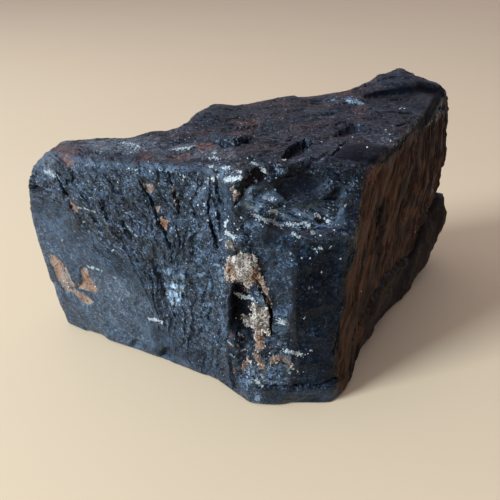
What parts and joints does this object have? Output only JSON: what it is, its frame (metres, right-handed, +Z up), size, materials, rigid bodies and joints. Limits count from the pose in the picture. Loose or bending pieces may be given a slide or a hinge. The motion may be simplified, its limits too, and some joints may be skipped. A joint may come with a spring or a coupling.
{
  "type": "coal lump",
  "caption": "Angular lump of black coal with a flat broken sole, a brown fibrous side face and pale mineral crusts; a natural prop or fuel piece that rests on a surface.",
  "frame": {"origin": "middle of the lump's box, on the floor that its sole rests on", "axes": "+X along the lump's length from the thin left end to the right end, +Y from the front faces to the back, +Z up"},
  "size_m": [0.1814, 0.1114, 0.0966],
  "materials": {
    "coal": "black broken coal, dull to satin with bright glints, with brown fibrous and tan mineral patches"
  },
  "bodies": {
    "root": {"coal_lump": "coal"}
  },
  "joints": []
}
